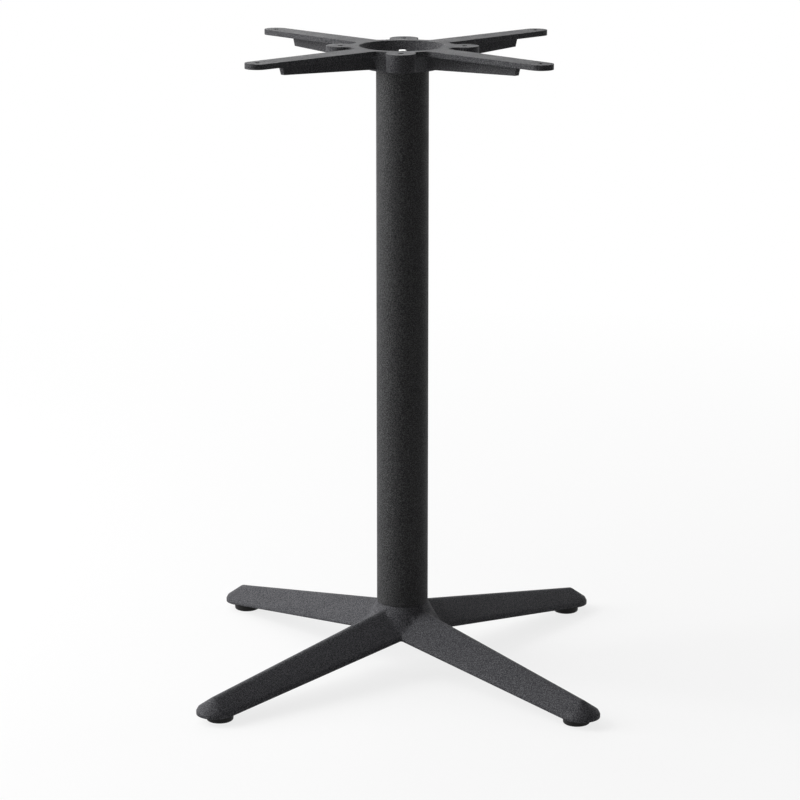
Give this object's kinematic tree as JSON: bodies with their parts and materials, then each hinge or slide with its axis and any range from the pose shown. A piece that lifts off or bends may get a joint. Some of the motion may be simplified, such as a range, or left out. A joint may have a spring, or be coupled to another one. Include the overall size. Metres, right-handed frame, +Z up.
{
  "type": "four star table base",
  "caption": "Pedestal table base: hollow cast star foot with roof-shaped legs, round tube column, cast top spider with screw arms and lugs, and screw-in levelling glides.",
  "frame": {"origin": "on the column axis at the floor, under the levelling glides", "axes": "+Z up along the column; the legs and the screw arms lie on the diagonals between X and Y; -Y faces the camera of the picture"},
  "size_m": [0.4526, 0.4526, 0.7335],
  "materials": {
    "coated_aluminium": "charcoal powder coat, fine texture",
    "coated_steel": "charcoal powder coat, fine texture",
    "zinc_steel": "bright zinc plate",
    "black_nylon": "moulded, matt"
  },
  "bodies": {
    "frame": {"base_star": "coated_aluminium", "column": "coated_steel", "top_spider": "coated_aluminium", "tie_rod": "zinc_steel", "bottom_washer": "zinc_steel", "bottom_nut": "zinc_steel", "top_washer": "zinc_steel", "top_nut": "zinc_steel"},
    "foot_front_left": {"glide_front_left": "black_nylon", "stud_front_left": "zinc_steel"},
    "foot_front_right": {"glide_front_right": "black_nylon", "stud_front_right": "zinc_steel"},
    "foot_back_right": {"glide_back_right": "black_nylon", "stud_back_right": "zinc_steel"},
    "foot_back_left": {"glide_back_left": "black_nylon", "stud_back_left": "zinc_steel"}
  },
  "joints": [
    {"name": "foot_front_left_screw", "type": "slide", "parent": "frame", "child": "foot_front_left", "axis": [0, 0, -1], "range_m": [0, 0.008]},
    {"name": "foot_front_right_screw", "type": "slide", "parent": "frame", "child": "foot_front_right", "axis": [0, 0, -1], "range_m": [0, 0.008]},
    {"name": "foot_back_right_screw", "type": "slide", "parent": "frame", "child": "foot_back_right", "axis": [0, 0, -1], "range_m": [0, 0.008]},
    {"name": "foot_back_left_screw", "type": "slide", "parent": "frame", "child": "foot_back_left", "axis": [0, 0, -1], "range_m": [0, 0.008]}
  ]
}
